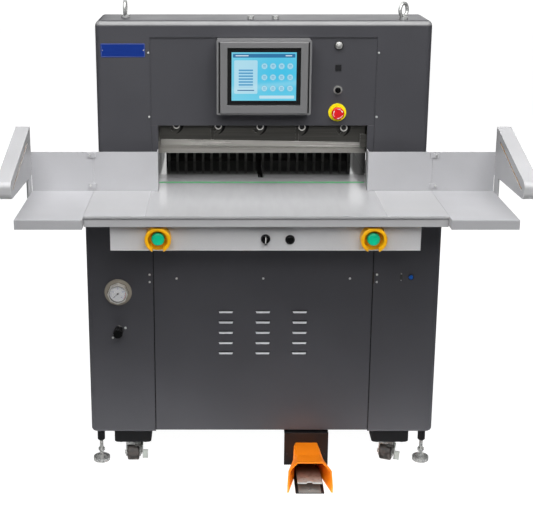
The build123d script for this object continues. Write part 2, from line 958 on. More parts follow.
def curtain_strip(width, x0, x1):
    """A straight strip along the light curtain's line, of the given width."""
    (y0, z0), (y1, z1) = curtain_line()
    length = math.hypot(y1 - y0, z1 - z0)
    shift_y = (z1 - z0) / length * width * half
    shift_z = (y0 - y1) / length * width * half
    points = [(y0 - shift_y, z0 - shift_z), (y1 - shift_y, z1 - shift_z),
              (y1 + shift_y, z1 + shift_z), (y0 + shift_y, z0 + shift_z)]
    return slab_x(points, x0, x1)


def guard_arm(side):
    """Box arm that holds one light curtain, and its bracket at the side table's corner."""
    arm = slab_x(arm_corners(), arm_inner, arm_inner + arm_width)
    front = arm.edges().filter_by(Axis.X).group_by(Axis.Y)[0]
    arm = fillet(front, arm_round)
    arm -= curtain_strip(arm_slot_width, arm_inner - overrun, arm_inner + arm_slot_depth)
    x = side_table_outer + seat_gap
    low = table_height - arm_bracket_low
    top = table_height + arm_back_low
    plate = block(x, x + arm_bracket_width, fence_y - arm_bracket_sheet, fence_y, low, top)
    plate += block(x, x + arm_bracket_sheet, fence_y - arm_bracket_leg, fence_y, low, top)
    return [on_side(arm, side), on_side(plate, side)]


def light_curtain(side):
    """Amber window bar in an arm's slot."""
    bar = curtain_strip(arm_slot_width - seat_gap - seat_gap,
                        arm_inner + arm_slot_depth - curtain_bar_depth - seat_gap,
                        arm_inner + arm_slot_depth - seat_gap)
    return on_side(bar, side)


def housing_cover():
    """Rounded sheet cover over the cross beam, open round the throat, below and behind."""
    x = housing_width * half
    body = block(-x, x, housing_front, housing_back, housing_foot, housing_top)
    upright = body.edges().filter_by(Axis.Z).group_by(Axis.Y)[0]
    body = fillet(upright, housing_round)
    rim = body.edges().group_by(Axis.Z)[-1]
    rim = [edge for edge in rim if edge.center().Y < housing_back - overrun]
    body = fillet(rim, housing_round)
    sheet = housing_sheet
    hollow = block(-x + sheet, x - sheet, housing_front + sheet, housing_back + overrun,
                   housing_foot - overrun, housing_top - sheet)
    upright = hollow.edges().filter_by(Axis.Z).group_by(Axis.Y)[0]
    hollow = fillet(upright, housing_round - sheet)
    rim = hollow.edges().group_by(Axis.Z)[-1]
    rim = [edge for edge in rim if edge.center().Y < housing_back]
    hollow = fillet(rim, housing_round - sheet)
    cover = body - hollow
    cover -= block(-throat_half, throat_half, housing_front - overrun, housing_front + sheet + overrun,
                   housing_foot - overrun, panel_top)
    for side, depth in ((-1, left_eye_depth), (1, right_eye_depth)):
        cover -= rod_z(eye_shank_radius + seat_gap, side * eye_x, housing_front + depth,
                       housing_top - sheet - overrun, housing_top + overrun)
    for bolt_x in (-top_bolt_x, top_bolt_x):
        cover -= rod_z(top_bolt_radius + seat_gap, bolt_x, housing_front + top_bolt_depth,
                       housing_top - sheet - overrun, housing_top + overrun)
    for screw_x, screw_z_place in cover_screw_places():
        cover -= rod_y(screw_hole_radius, screw_x, screw_z_place, housing_front - overrun,
                       housing_front + sheet + overrun)
    return cover


def cover_screw_places():
    """Places of the four screws beside the upper front panel, as (x, z) pairs."""
    return [(side * cover_screw_x, z) for side in (-1, 1) for z in (cover_screw_high, cover_screw_low)]


def switch_places():
    """Places of the switches on the upper front panel, as (x, z) pairs."""
    return [(control_x, lamp_z), (control_x, key_z), (control_x, stop_z)]


def upper_front_panel():
    """Panel behind the housing's opening, with a lip over the throat, and two throat strips."""
    x = throat_half + panel_lap
    y = panel_face
    panel = block(-x, x, y, y + housing_sheet, throat_top, panel_top + panel_lap)
    panel += block(-throat_half, throat_half, y, y + panel_lip, throat_top, throat_top + housing_sheet)
    for screw_x, screw_z_place in switch_places():
        panel -= rod_y(panel_hole_radius, screw_x, screw_z_place, y - overrun, y + housing_sheet + overrun)
    strip_in = throat_half - strip_show
    strip = block(strip_in, strip_in + strip_width, y, y + strip_thickness,
                  table_height + seat_gap, throat_top - seat_gap)
    return [panel, strip, mirrored(strip)]


def lifting_eye(x, depth, turn):
    """Cast ring on a collar, with a shank that screws into the side frame."""
    y = housing_front + depth
    base = housing_top
    collar = rod_z(eye_collar_radius, x, y, base, base + eye_collar_height)
    centre = base + eye_collar_height + eye_ring_radius
    ring = Pos(x, y, centre) * Rot(0, 0, turn) * Rot(90, 0, 0) * Torus(eye_ring_radius, eye_wire_radius)
    shank = rod_z(eye_shank_radius, x, y, base - eye_shank_length, base)
    return collar + ring + shank


def top_bolt(x):
    """Hexagon bolt that holds the housing cover down on the beam."""
    y = housing_front + top_bolt_depth
    head = hexagon_z(top_bolt_flats, x, y, housing_top, housing_top + top_bolt_head)
    return head + rod_z(top_bolt_radius, x, y, housing_top - top_bolt_length, housing_top)


def monitor_case():
    """Box of the control panel with its framed front, open behind the screen."""
    x = monitor_width * half
    low = throat_top + monitor_low
    back = panel_face - seat_gap
    front = back - monitor_proud + bezel_thickness
    case = block(-x, x, front, back, low, low + monitor_height)
    case = fillet(case.edges().filter_by(Axis.Y), monitor_round)
    middle = low + monitor_height * half
    frame = block(-bezel_width * half, bezel_width * half, front - bezel_thickness, front + overrun,
                  middle - bezel_height * half, middle + bezel_height * half)
    frame = fillet(frame.edges().group_by(Axis.Y)[0], bezel_thickness * half)
    case += frame
    screen_middle = middle + bezel_opening_raise
    case -= block(-bezel_opening_width * half, bezel_opening_width * half, front - bezel_thickness - overrun,
                  front + screen_pocket - bezel_thickness, screen_middle - bezel_opening_height * half,
                  screen_middle + bezel_opening_height * half)
    return case


def display_panel():
    """Flat screen at the bottom of the monitor's recess."""
    back = panel_face - seat_gap - monitor_proud + screen_pocket - seat_gap
    middle = throat_top + monitor_low + monitor_height * half + bezel_opening_raise
    return block(-screen_width * half, screen_width * half, back - screen_thickness, back,
                 middle - screen_height * half, middle + screen_height * half)


def ring_on(face, x, z, outer, inner, height):
    """A flat ring that stands forward of a front face."""
    ring = rod_y(outer, x, z, face - height, face)
    return ring - rod_y(inner, x, z, face - height - overrun, face + overrun)


def sleeve_behind(face, sheet, x, z, inner):
    """The round body of a switch behind its panel, with a through bore."""
    body = rod_y(switch_body_radius, x, z, face + sheet, face + sheet + switch_body_length)
    return body - rod_y(inner, x, z, face, face + sheet + switch_body_length + overrun)


def switch_rings():
    """Bezels, collars and bodies of the panel's switches, the lamp and the square socket."""
    face = panel_face
    sheet = housing_sheet
    solids = [rod_y(ring_radius, control_x, lamp_z, face - ring_height, face)
              + rod_y(lamp_radius, control_x, lamp_z, face - lamp_height, face)
              + rod_y(switch_body_radius, control_x, lamp_z, face, face + sheet + switch_body_length)]
    socket_half = socket_size * half
    solids.append(block(control_x - socket_half, control_x + socket_half, face - screw_head_height, face,
                        socket_z - socket_half, socket_z + socket_half))
    solids.append(ring_on(face, control_x, key_z, ring_radius, ring_hole_radius, ring_height))
    solids.append(sleeve_behind(face, sheet, control_x, key_z, ring_hole_radius))
    solids.append(ring_on(face, control_x, stop_z, stop_disc_radius, ring_hole_radius, stop_disc_thickness))
    solids.append(sleeve_behind(face, sheet, control_x, stop_z, ring_hole_radius))
    for x, z in bar_switch_places():
        solids.append(ring_on(bar_front, x, z, ring_radius, jog_radius + seat_gap, ring_height))
        solids.append(sleeve_behind(bar_front, bar_sheet, x, z, ring_hole_radius))
    for side in (-1, 1):
        collar = ring_on(bar_front - guard_back, button_x, button_z, button_collar_radius,
                         button_stem_radius + seat_gap, button_collar_height - guard_back)
        solids.append(on_side(collar, side))
        body = sleeve_behind(bar_front, bar_sheet, button_x, button_z, button_stem_radius + seat_gap)
        solids.append(on_side(body, side))
    return solids


def bar_switch_places():
    """Places of the selector and the jog button on the bar, as (x, z) pairs."""
    return [(0, selector_z), (jog_x, jog_z)]


def button_bar():
    """Folded sheet bar under the table that carries the two-hand buttons."""
    x = bar_width * half
    top = table_under - seat_gap
    bar = block(-x, x, bar_front, cabinet_front - seat_gap, bar_low, top)
    bar = fillet(bar.edges().filter_by(Axis.X).group_by(Axis.Y)[0], bar_round)
    hollow = block(-x + bar_sheet, x - bar_sheet, bar_front + bar_sheet, cabinet_front + overrun,
                   bar_low + bar_sheet, top - bar_sheet)
    bar -= fillet(hollow.edges().filter_by(Axis.X).group_by(Axis.Y)[0], bar_round - bar_sheet)
    for hole_x, hole_z in bar_switch_places() + [(-button_x, button_z), (button_x, button_z)]:
        bar -= rod_y(panel_hole_radius, hole_x, hole_z, bar_front - overrun, bar_front + bar_sheet + overrun)
    return bar


def button_guard(side):
    """Open-mouthed collar round a two-hand button."""
    x = button_x
    z = button_z
    front = bar_front - guard_depth
    guard = rod_y(guard_radius, x, z, front, bar_front)
    guard = chamfer(guard.edges().filter_by(GeomType.CIRCLE).group_by(Axis.Y)[0], guard_back)
    guard &= block(x - guard_radius, x + guard_radius, front - overrun, bar_front,
                   z - guard_radius, z + guard_flat)
    guard -= rod_y(guard_inner_radius, x, z, front - overrun, bar_front - guard_back)
    guard -= rod_y(panel_hole_radius, x, z, front, bar_front + overrun)
    guard -= block(x - guard_mouth * half, x + guard_mouth * half, front - overrun, bar_front - guard_back,
                   z - guard_radius - overrun, z)
    return on_side(guard, side)


def two_hand_button(side):
    """Mushroom button on its stem, standing clear of its collar by its travel."""
    x = button_x
    z = button_z
    collar_face = bar_front - button_collar_height
    back = collar_face - button_travel - seat_gap
    head = rod_y(button_radius, x, z, back - button_head, back)
    head = fillet(head.edges().group_by(Axis.Y)[0], button_head * half)
    stem = rod_y(button_stem_radius, x, z, back, bar_front + switch_body_length * half)
    return on_side(head + stem, side)


def grip_knob(x, z, face, radius, height, grip_width, grip_length, grip_height, stem_radius, stem_end):
    """Round knob with a raised bar across it and a stem behind it."""
    knob = rod_y(radius, x, z, face - height, face)
    grip = block(x - grip_width * half, x + grip_width * half, face - height - grip_height, face - height,
                 z - grip_length * half, z + grip_length * half)
    grip = fillet(grip.edges().filter_by(Axis.Y), grip_width * half * half)
    return knob + grip + rod_y(stem_radius, x, z, face, stem_end)


def selector_knob():
    """Selector switch's turning knob."""
    face = bar_front - ring_height - seat_gap
    stem_end = bar_front + switch_body_length * half
    return grip_knob(0, selector_z, face, selector_radius, selector_height, selector_grip_width,
                     selector_radius * 2, selector_grip_height, ring_hole_radius - seat_gap, stem_end)


def key_knob():
    """Key switch's core with the key in it."""
    face = panel_face - ring_height - seat_gap
    stem_end = panel_face + switch_body_length * half
    return grip_knob(control_x, key_z, face, key_knob_radius, key_knob_height * half, key_grip_width * half,
                     key_grip_length * half, key_grip_height, key_knob_radius - seat_gap, stem_end)


def jog_button():
    """Flush push button beside the selector."""
    top = bar_front - jog_height
    button = rod_y(jog_radius, jog_x, jog_z, top, bar_front - seat_gap - jog_travel + seat_gap)
    button = fillet(button.edges().group_by(Axis.Y)[0], jog_height * half * half)
    return button + rod_y(ring_hole_radius - seat_gap, jog_x, jog_z, bar_front - jog_travel,
                          bar_front + switch_body_length * half)


def emergency_stop_head():
    """Mushroom head and neck of the emergency stop."""
    back = panel_face - stop_disc_thickness - stop_travel - seat_gap
    neck = rod_y(stop_neck_radius, control_x, stop_z, back - stop_neck_height + stop_travel, back)
    front = back - stop_neck_height + stop_travel
    head = rod_y(stop_head_radius, control_x, stop_z, front - stop_head_height, front)
    head = fillet(head.edges().group_by(Axis.Y)[0], stop_head_height * half * half)
    stem = rod_y(ring_hole_radius - seat_gap, control_x, stop_z, back, panel_face + switch_body_length * half)
    return head + neck + stem


def knife_tilt():
    """Angle in radians by which the resting knife drops to the right."""
    return math.atan2(knife_left_rise - knife_right_rise, knife_length)


def knife_blade():
    """Knife with its bevel in front and its flat side to the clamp, hung a little aslant."""
    front = knife_y - knife_thickness
    points = [(knife_y, 0), (knife_y, knife_width), (front, knife_width), (front, knife_bevel)]
    blade = slab_x(points, 0, knife_length)
    tilted = Rot(0, math.degrees(knife_tilt()), 0) * blade
    blade = Pos(-knife_length * half, 0, table_height + knife_left_rise) * tilted
    for x, z in knife_bolt_places():
        blade -= rod_y(knife_bolt_radius + knife_bolt_gap, x, z, front - overrun, knife_y + overrun)
    return blade


def knife_bolt_places():
    """Middles of the knife's clamping bolts in a row along the tilted knife, as (x, z) pairs."""
    first = knife_bolt_middle - (knife_bolt_count - 1) * half * knife_bolt_pitch
    row = [first + number * knife_bolt_pitch for number in range(knife_bolt_count)]
    return [(x, table_height + knife_bolt_rise - (x - knife_bolt_middle) * math.tan(knife_tilt()))
            for x in row]


def knife_carrier():
    """Knife bar with an arm to each side frame, bolt slots, a guide block and its pivot hole."""
    x = knife_length * half
    top = table_height + carrier_top_rise
    arm_low = table_height + carrier_arm_rise
    left_low = table_height + carrier_left_rise
    right_low = left_low - knife_length * math.tan(knife_tilt())
    outline = [(-x, left_low), (x, right_low), (x, top), (-x, top)]
    bar = slab_y(outline, carrier_front, carrier_back)
    reach = x + carrier_arm_reach
    bar += block(-reach, reach, carrier_front, carrier_back, arm_low, top)
    block_low = table_height + guide_block_rise
    block_right = x + guide_block_width * half
    bar += block(block_right - guide_block_width, block_right, carrier_front - guide_block_depth,
                 carrier_front, block_low, block_low + guide_block_height)
    for side in (-1, 1):
        groove_x = carrier_groove_middle + side * carrier_groove_x
        bar -= block(groove_x - carrier_groove_width * half, groove_x + carrier_groove_width * half,
                     carrier_front - overrun, carrier_front + carrier_groove_depth,
                     right_low - overrun, table_height + knife_bolt_rise)
    for bolt_x, bolt_z in knife_bolt_places():
        bar -= rod_y(knife_bolt_radius + knife_bolt_gap, bolt_x, bolt_z, carrier_front - overrun,
                     carrier_back + overrun)
        slot = Box(knife_slot_length, knife_slot_depth * 2, knife_slot_width)
        reach_down = knife_slot_length * half * half
        place = Pos(bolt_x - reach_down, carrier_front, bolt_z - reach_down)
        bar -= place * Rot(0, -knife_slot_lean, 0) * slot
    bar -= rod_y(pivot_radius + pivot_clearance, -pivot_x, table_height + pivot_rise,
                 carrier_front - overrun, carrier_back + overrun)
    return bar


def knife_bolts():
    """Socket-head bolts that clamp the knife to its bar."""
    bolts = []
    for x, z in knife_bolt_places():
        face = carrier_front
        bolt = rod_y(knife_bolt_head_radius, x, z, face - knife_bolt_head, face)
        bolt += rod_y(knife_bolt_radius, x, z, face, knife_y - knife_bolt_gap)
        bolt -= rod_y(knife_bolt_socket_radius, x, z, face - knife_bolt_head - overrun,
                      face - knife_bolt_head + knife_bolt_socket)
        bolts.append(bolt)
    return bolts


def knife_pull_rod():
    """Eye block with the knife's pivot pin, and the slanted rod with its piston."""
    back = carrier_front - eye_block_gap
    front = back - eye_block_thickness
    z = table_height + pivot_rise
    eye = block(-pivot_x - eye_block_width * half, -pivot_x + eye_block_width * half, front, back,
                z - eye_block_height * half, z + eye_block_height * half)
    eye = fillet(eye.edges().filter_by(Axis.Y), pivot_radius * half)
    pin = rod_y(pivot_radius, -pivot_x, z, front, carrier_back)
    piston_low = knife_barrel_top + gland_height + piston_gap + knife_piston_height
    rod = Pos(0, 0, -piston_low * half) * Cylinder(pull_rod_radius, piston_low)
    piston = Pos(0, 0, -piston_low + knife_piston_height * half)
    rod += piston * Cylinder(knife_piston_radius, knife_piston_height)
    return eye + pin + along_draw(rod, -pivot_x, (front + back) * half, z)


def knife_cylinder():
    """Slanted cylinder of the knife with a lug on the left side frame."""
    z = table_height + pivot_rise
    y = carrier_front - eye_block_gap - eye_block_thickness * half
    outer = knife_piston_radius + barrel_wall
    length = knife_barrel_length
    barrel = Pos(0, 0, -knife_barrel_top - length * half) * Cylinder(outer, length)
    inner_length = length - gland_height - barrel_wall
    inner_middle = -knife_barrel_top - gland_height - inner_length * half
    barrel -= Pos(0, 0, inner_middle) * Cylinder(knife_piston_radius + barrel_clearance, inner_length)
    barrel -= Pos(0, 0, -knife_barrel_top) * Cylinder(pull_rod_radius + barrel_clearance,
                                                      gland_height * 2 + overrun)
    barrel = along_draw(barrel, -pivot_x, y, z)
    lug_top = z - (knife_barrel_top + gland_height * half) * math.cos(draw_angle) - overrun
    lug = block(-cheek_outer, -cheek_outer + lug_width, y, cheek_front, lug_top - lug_height, lug_top)
    hollow = Pos(0, 0, -knife_barrel_top - length * half)
    hollow = hollow * Cylinder(outer - barrel_wall * half, length + overrun)
    lug -= along_draw(hollow, -pivot_x, y, z)
    return barrel + lug


def clamp_middle():
    """Middle plane of the clamp beam and its guides."""
    return (clamp_front + clamp_back) * half


def clamp_beam():
    """Clamp beam with a stepped lower edge and a tongue in each side frame's guide."""
    x = clamp_width * half
    low = table_height + clamp_rise
    beam = block(-x, x, clamp_front, clamp_back, low, low + clamp_height)
    beam -= block(-x - overrun, x + overrun, clamp_front - overrun, clamp_front + clamp_lip_inset,
                  low + clamp_lip_height, low + clamp_lip_height + clamp_lip_inset)
    reach = cheek_inner + guide_depth - clamp_tongue_gap
    tongue_half = guide_width * half - clamp_tongue_gap
    tongue = block(-reach, reach, clamp_middle() - tongue_half, clamp_middle() + tongue_half,
                   low, low + clamp_height)
    return beam + tongue


def clamp_barrel_top():
    """Upper face of the clamp's cylinder, which stands on the lower beam."""
    return lower_beam_z + lower_beam_height + clamp_barrel_length


def clamp_yoke():
    """Yoke under the table with the two pull rods of the clamp and its piston rod."""
    y = clamp_middle()
    rod_x_place = cheek_inner + guide_depth * half
    reach = cheek_inner + guide_depth - clamp_tongue_gap
    yoke = block(-reach, reach, y - yoke_depth * half, y + yoke_depth * half, yoke_z, yoke_z + yoke_height)
    for x in (-rod_x_place, rod_x_place):
        yoke += rod_z(clamp_rod_radius, x, y, yoke_z + yoke_height, table_height + clamp_rise)
    piston_top = clamp_barrel_top() - gland_height - piston_gap
    yoke += rod_z(yoke_rod_radius, 0, y, piston_top, yoke_z)
    return yoke + rod_z(clamp_piston_radius, 0, y, piston_top - clamp_piston_height, piston_top)


def clamp_cylinder():
    """Upright cylinder of the clamp on the lower beam."""
    y = clamp_middle()
    top = clamp_barrel_top()
    low = lower_beam_z + lower_beam_height
    barrel = rod_z(clamp_piston_radius + barrel_wall, 0, y, low, top)
    barrel -= rod_z(clamp_piston_radius + barrel_clearance, 0, y, low + barrel_wall, top - gland_height)
    return barrel - rod_z(yoke_rod_radius + barrel_clearance, 0, y, top - gland_height - overrun,
                          top + overrun)


def gauge_face():
    """Front face of the backgauge's fins."""
    return knife_y + gauge_setback


def backgauge():
    """Finned backgauge with its foot, its tongue through the slot and its screw nut."""
    low = table_height + gauge_float
    top = low + gauge_height
    face = gauge_face()
    plate_front = face + gauge_fin_depth
    plate_back = plate_front + gauge_plate
    first = -(gauge_fin_count - 1) * half * gauge_fin_pitch
    reach = -first + gauge_fin_width * half + gauge_margin
    gauge = block(-reach, reach, plate_front, plate_back, low, top)
    for number in range(gauge_fin_count):
        x = first + number * gauge_fin_pitch
        gauge += block(x - gauge_fin_width * half, x + gauge_fin_width * half, face, plate_front, low, top)
    tongue_half = slot_width * half - gauge_tongue_gap
    tongue_back = plate_back + gauge_tongue_length
    gauge += block(-nut_width, nut_width, plate_back, tongue_back, low, low + gauge_foot_height)
    nut_low = screw_z - nut_height * half
    nut_top = screw_z + nut_height * half
    nut_front = plate_back + nut_setback
    gauge += block(-tongue_half, tongue_half, nut_front, tongue_back, nut_top, low)
    nut = block(-nut_width * half, nut_width * half, nut_front, plate_back + nut_length, nut_low, nut_top)
    nut -= rod_y(screw_radius + screw_clearance, 0, screw_z, plate_back - overrun,
                 plate_back + nut_length + overrun)
    return gauge + nut


def pulley_front():
    """Front face of the leadscrew's pulley, just behind its front bearing."""
    return screw_bearings()[0] + bearing_length + bearing_end_gap


def leadscrew():
    """Leadscrew of the backgauge with its toothed pulley."""
    start = screw_bearings()[0] + bearing_end_gap
    end = screw_bearings()[1] + bearing_length - bearing_end_gap
    screw = rod_y(screw_radius, 0, screw_z, start, end)
    return screw + rod_y(pulley_radius, 0, screw_z, pulley_front(), pulley_front() + pulley_width)


def gauge_motor():
    """Motor that drives the leadscrew by a belt, on a bracket from the lower beam's rear side."""
    y = pulley_front()
    body_front = cheek_back + gauge_motor_bracket
    body = rod_y(gauge_motor_radius, 0, gauge_motor_z, body_front, body_front + gauge_motor_length)
    shaft = rod_y(screw_radius * half, 0, gauge_motor_z, y, body_front)
    pulley = rod_y(pulley_radius * half, 0, gauge_motor_z, y, y + pulley_width)
    reach = cheek_inner + pad_inset
    bracket = block(-reach, reach, cheek_back, body_front, gauge_motor_z - gauge_motor_radius,
                    gauge_motor_z + gauge_motor_radius)
    return body + bracket + shaft + pulley


def gauge_belt():
    """Toothed belt round the motor's pulley and the leadscrew's pulley."""
    def loop(grow):
        wide = Pos(0, screw_z) * Circle(pulley_radius + grow)
        narrow = Pos(0, gauge_motor_z) * Circle(pulley_radius * half + grow)
        return make_hull(wide.edges() + narrow.edges())
    flat = loop(belt_gap + belt_thickness) - loop(belt_gap)
    front = pulley_front() + (pulley_width - belt_width) * half
    return Pos(0, front + belt_width, 0) * Rot(90, 0, 0) * extrude(flat, amount=belt_width)


def gauge_case():
    """Pressure gauge: panel flange, faceted bezel cup and body through the cover."""
    x, z, face = -gauge_x, gauge_z, cabinet_front
    flange = rod_y(gauge_flange_radius, x, z, face - gauge_flange_thickness, face)
    front = face - gauge_case_proud
    profile = RegularPolygon(gauge_case_radius, gauge_facets, major_radius=False)
    bezel = Pos(x, face, z) * Rot(90, 0, 0) * extrude(profile, amount=gauge_case_proud)
    cup = bezel + flange
    cup += rod_y(gauge_case_radius - gauge_case_wall, x, z, face, face + gauge_case_behind)
    cup -= rod_y(gauge_case_radius - gauge_case_wall, x, z, front - overrun, front + gauge_dial_depth)
    pin_front = front + gauge_dial_depth - needle_rise - needle_thickness - needle_rise
    return cup + rod_y(needle_pin_radius, x, z, pin_front, front + gauge_dial_depth)


def gauge_lens():
    """Flat glass of the pressure gauge."""
    front = cabinet_front - gauge_case_proud + gauge_lens_inset
    return rod_y(gauge_case_radius - gauge_case_wall - gauge_lens_gap, -gauge_x, gauge_z, front,
                 front + gauge_lens_thickness)


def gauge_needle():
    """Needle of the pressure gauge on its small hub."""
    x, z = -gauge_x, gauge_z
    back = cabinet_front - gauge_case_proud + gauge_dial_depth - needle_rise
    front = back - needle_thickness
    points = [(-needle_width * half, -needle_hub_radius * 2), (needle_width * half, -needle_hub_radius * 2),
              (needle_width * half * half, needle_length), (-needle_width * half * half, needle_length)]
    lean = math.radians(gauge_rest_lean)
    turned = [(x + px * math.cos(lean) - pz * math.sin(lean), z + px * math.sin(lean) + pz * math.cos(lean))
              for px, pz in points]
    needle = slab_y(turned, front, back)
    needle += rod_y(needle_hub_radius, x, z, back - needle_hub_height, back)
    return needle - rod_y(needle_pin_radius + needle_clearance, x, z, front - overrun, back + overrun)


def pressure_valve():
    """Body and base of the pressure valve, with a bore for its spindle."""
    x, z, face = -gauge_x, valve_z, cabinet_front
    base = rod_y(valve_base_radius, x, z, face - valve_base_height, face)
    base += rod_y(valve_base_radius - cabinet_sheet - seat_gap, x, z, face, face + valve_body_behind)
    return base - rod_y(valve_spindle_radius + valve_spindle_clearance, x, z,
                        face - valve_base_height - overrun, face + valve_body_behind * half)


def valve_knob():
    """Fluted knob and spindle of the pressure valve."""
    x, z = -gauge_x, valve_z
    back = cabinet_front - valve_base_height - valve_knob_gap
    front = back - valve_knob_length
    knob = rod_y(valve_knob_radius, x, z, front, back)
    knob = fillet(knob.edges().group_by(Axis.Y)[0], valve_knob_gap * 2)
    for number in range(valve_flutes):
        turn = 2 * math.pi * number / valve_flutes
        reach = valve_knob_radius + valve_flute_radius * half
        knob -= rod_y(valve_flute_radius, x + reach * math.cos(turn), z + reach * math.sin(turn),
                      front - overrun, back - valve_base_height * half)
    spindle_end = cabinet_front + valve_body_behind * half - valve_knob_gap
    return knob + rod_y(valve_spindle_radius, x, z, back, spindle_end)


def service_port():
    """Slim oval connector, the reset button's ring and the hinge plate on the right cover."""
    face = cabinet_front
    straight = (port_length - port_radius * 2) * half
    port = block(port_x - port_radius, port_x + port_radius, face - port_height, face,
                 fitting_z - straight, fitting_z + straight)
    for end in (-1, 1):
        port += rod_y(port_radius, port_x, fitting_z + end * straight, face - port_height, face)
    port += rod_y(port_hole_radius - seat_gap, port_x, fitting_z, face, face + port_height)
    ring = ring_on(face, reset_x, fitting_z, reset_ring_radius, reset_hole_radius, reset_ring_height)
    hinge_x = front_panel_width * half + cover_seam
    plate = block(hinge_x, hinge_x + hinge_plate_width * half, face - hinge_plate_thickness, face,
                  hinge_plate_z, hinge_plate_z + hinge_plate_height)
    return [port, ring, plate]


def reset_button():
    """Small push button in the right cover."""
    face = cabinet_front
    return rod_y(reset_radius, reset_x, fitting_z, face - reset_ring_height - reset_proud,
                 face + cabinet_sheet + port_height)


def small_screw(x, z, face):
    """Domed screw head on a front face, with its short shank."""
    head = rod_y(screw_head_radius, x, z, face - screw_head_height, face)
    head = fillet(head.edges().group_by(Axis.Y)[0], screw_head_height * half)
    return head + rod_y(screw_shank_radius, x, z, face, face + screw_shank_length)


def screw_head(x, z, face):
    """Domed head of a screw that is driven home in a front face."""
    head = rod_y(screw_head_radius, x, z, face - screw_head_height, face)
    return fillet(head.edges().group_by(Axis.Y)[0], screw_head_height * half)


def port_screw(x, z, face):
    """Half-size screw of the small connector."""
    return rod_y(screw_head_radius * half, x, z, face - screw_head_height * half, face)


def cover_screws():
    """All the small visible screws, and the two bolts on top."""
    screws = [small_screw(x, z, housing_front) for x, z in cover_screw_places()]
    screws += [top_bolt(-top_bolt_x), top_bolt(top_bolt_x)]
    screws += [screw_head(x, panel_screw_z, cabinet_front) for x in (-panel_screw_x, 0, panel_screw_x)]
    for side in (-1, 1):
        for z in (panel_screw_z + corner_screw_drop, panel_screw_z - corner_screw_raise):
            screws.append(screw_head(side * corner_screw_x, z, cabinet_front))
        for z in tab_heights():
            x = side * (table_half + tab_screw_out)
            screws.append(screw_head(x, z, fence_y - fence_sheet))
        shelf_screw_z = table_height - arm_bracket_low + screw_head_radius * 4
        bracket_x = side * (side_table_outer + arm_bracket_width * half + seat_gap)
        screws.append(screw_head(bracket_x, shelf_screw_z, fence_y - arm_bracket_sheet))
    for end in (-1, 1):
        port_z = fitting_z + end * (port_length * half + port_screw_gap + screw_head_radius * half)
        screws.append(port_screw(port_x, port_z, cabinet_front))
    screws.append(screw_head(-valve_screw_x, valve_z + screw_head_radius, cabinet_front))
    screws.append(screw_head(-valve_plug_x, valve_plug_z, cabinet_front))
    return screws


def pedal_bracket():
    """Bent plate under the cabinet, base plate, two ears and the treadle's pin."""
    y = table_front + pedal_plate_setback
    x0 = pedal_x - pedal_plate_width * half
    x1 = pedal_x + pedal_plate_width * half
    thick = pedal_plate_thickness
    top = frame_low - seat_gap
    bracket = block(x0, x1, y, y + thick, pedal_plate_bottom, top)
    bracket += block(x0, x1, y, y + pedal_shelf_depth, top - thick, top)
    front = table_front + pedal_base_front
    base_half = pedal_base_width * half
    bracket += block(pedal_x - base_half, pedal_x + base_half, front, y, pedal_plate_bottom,
                     pedal_plate_bottom + thick)
    bracket -= rod_z(screw_head_radius, pedal_x, front + pedal_base_slot, 0,
                     pedal_plate_bottom + thick + overrun)
    pin_y = table_front + treadle_back
    ear_in = treadle_heel_width * half + treadle_ear_gap
    for side in (-1, 1):
        inner = pedal_x + side * ear_in
        outer = inner + side * treadle_ear_thickness
        bracket += block(inner, outer, pin_y - treadle_ear_depth * half, pin_y + treadle_ear_depth * half,
                         pedal_plate_bottom + thick, pedal_plate_bottom + thick + treadle_ear_height)
    bracket += rod_x(treadle_pin_radius, pin_y, treadle_pin_z, pedal_x - ear_in, pedal_x + ear_in)
    for bolt_side in (-1, 1):
        bolt_x = pedal_x + bolt_side * pedal_bolt_x
        bracket += rod_y(screw_head_radius, bolt_x, pedal_bolt_z, y - screw_head_height, y)
    return bracket


def hood_section(y, width_share, inset, floor):
    """Cross-section of the hood at y: 0 is the bracket's end, 1 the wide front end."""
    def mix(back, front):
        return back + (front - back) * width_share
    top = mix(hood_back_top, hood_front_top) - inset
    side = mix(hood_back_width + hood_wall * 2, hood_front_width) * half - inset
    lip = mix(hood_back_width - hood_wall * 2, hood_lip_width) * half - inset * half
    bend = (side + lip) * half
    drop = mix(hood_wall, hood_chamfer_drop)
    shoulder = mix(hood_chamfer_drop, hood_shoulder_drop)
    points = [(-side, floor), (-side, top - shoulder), (-bend, top - drop), (-lip, top),
              (lip, top), (bend, top - drop), (side, top - shoulder), (side, floor)]
    return make_face(Polyline(*[(pedal_x + px, y, pz) for px, pz in points], close=True))


def pedal_hood():
    """Foot guard over the treadle, narrow at the bracket and wide at the mouth."""
    back = table_front + pedal_plate_setback - seat_gap
    front = table_front + pedal_base_front
    floor = pedal_plate_bottom + hood_floor_gap
    neck = (front + back) * half
    share = hood_neck_share
    outer = loft([hood_section(neck, share, 0, floor), hood_section(front, 1, 0, floor)], ruled=True)
    outer += loft([hood_section(back, 0, 0, floor), hood_section(neck, share, 0, floor)], ruled=True)
    low = floor - overrun
    mouth = hood_section(front - overrun, 1, hood_wall, low)
    waist = hood_section(neck, share, hood_wall, low)
    inner = loft([waist, mouth], ruled=True)
    inner += loft([hood_section(back - hood_wall, 0, hood_wall, low), waist], ruled=True)
    hood = outer - inner
    slope = [(front - overrun, floor + hood_floor_gap),
             (front + hood_lip_setback + hood_wall, hood_front_top + overrun),
             (front - overrun, hood_front_top + overrun)]
    cut = slab_x(slope, pedal_x - hood_front_width, pedal_x + hood_front_width)
    return hood - cut


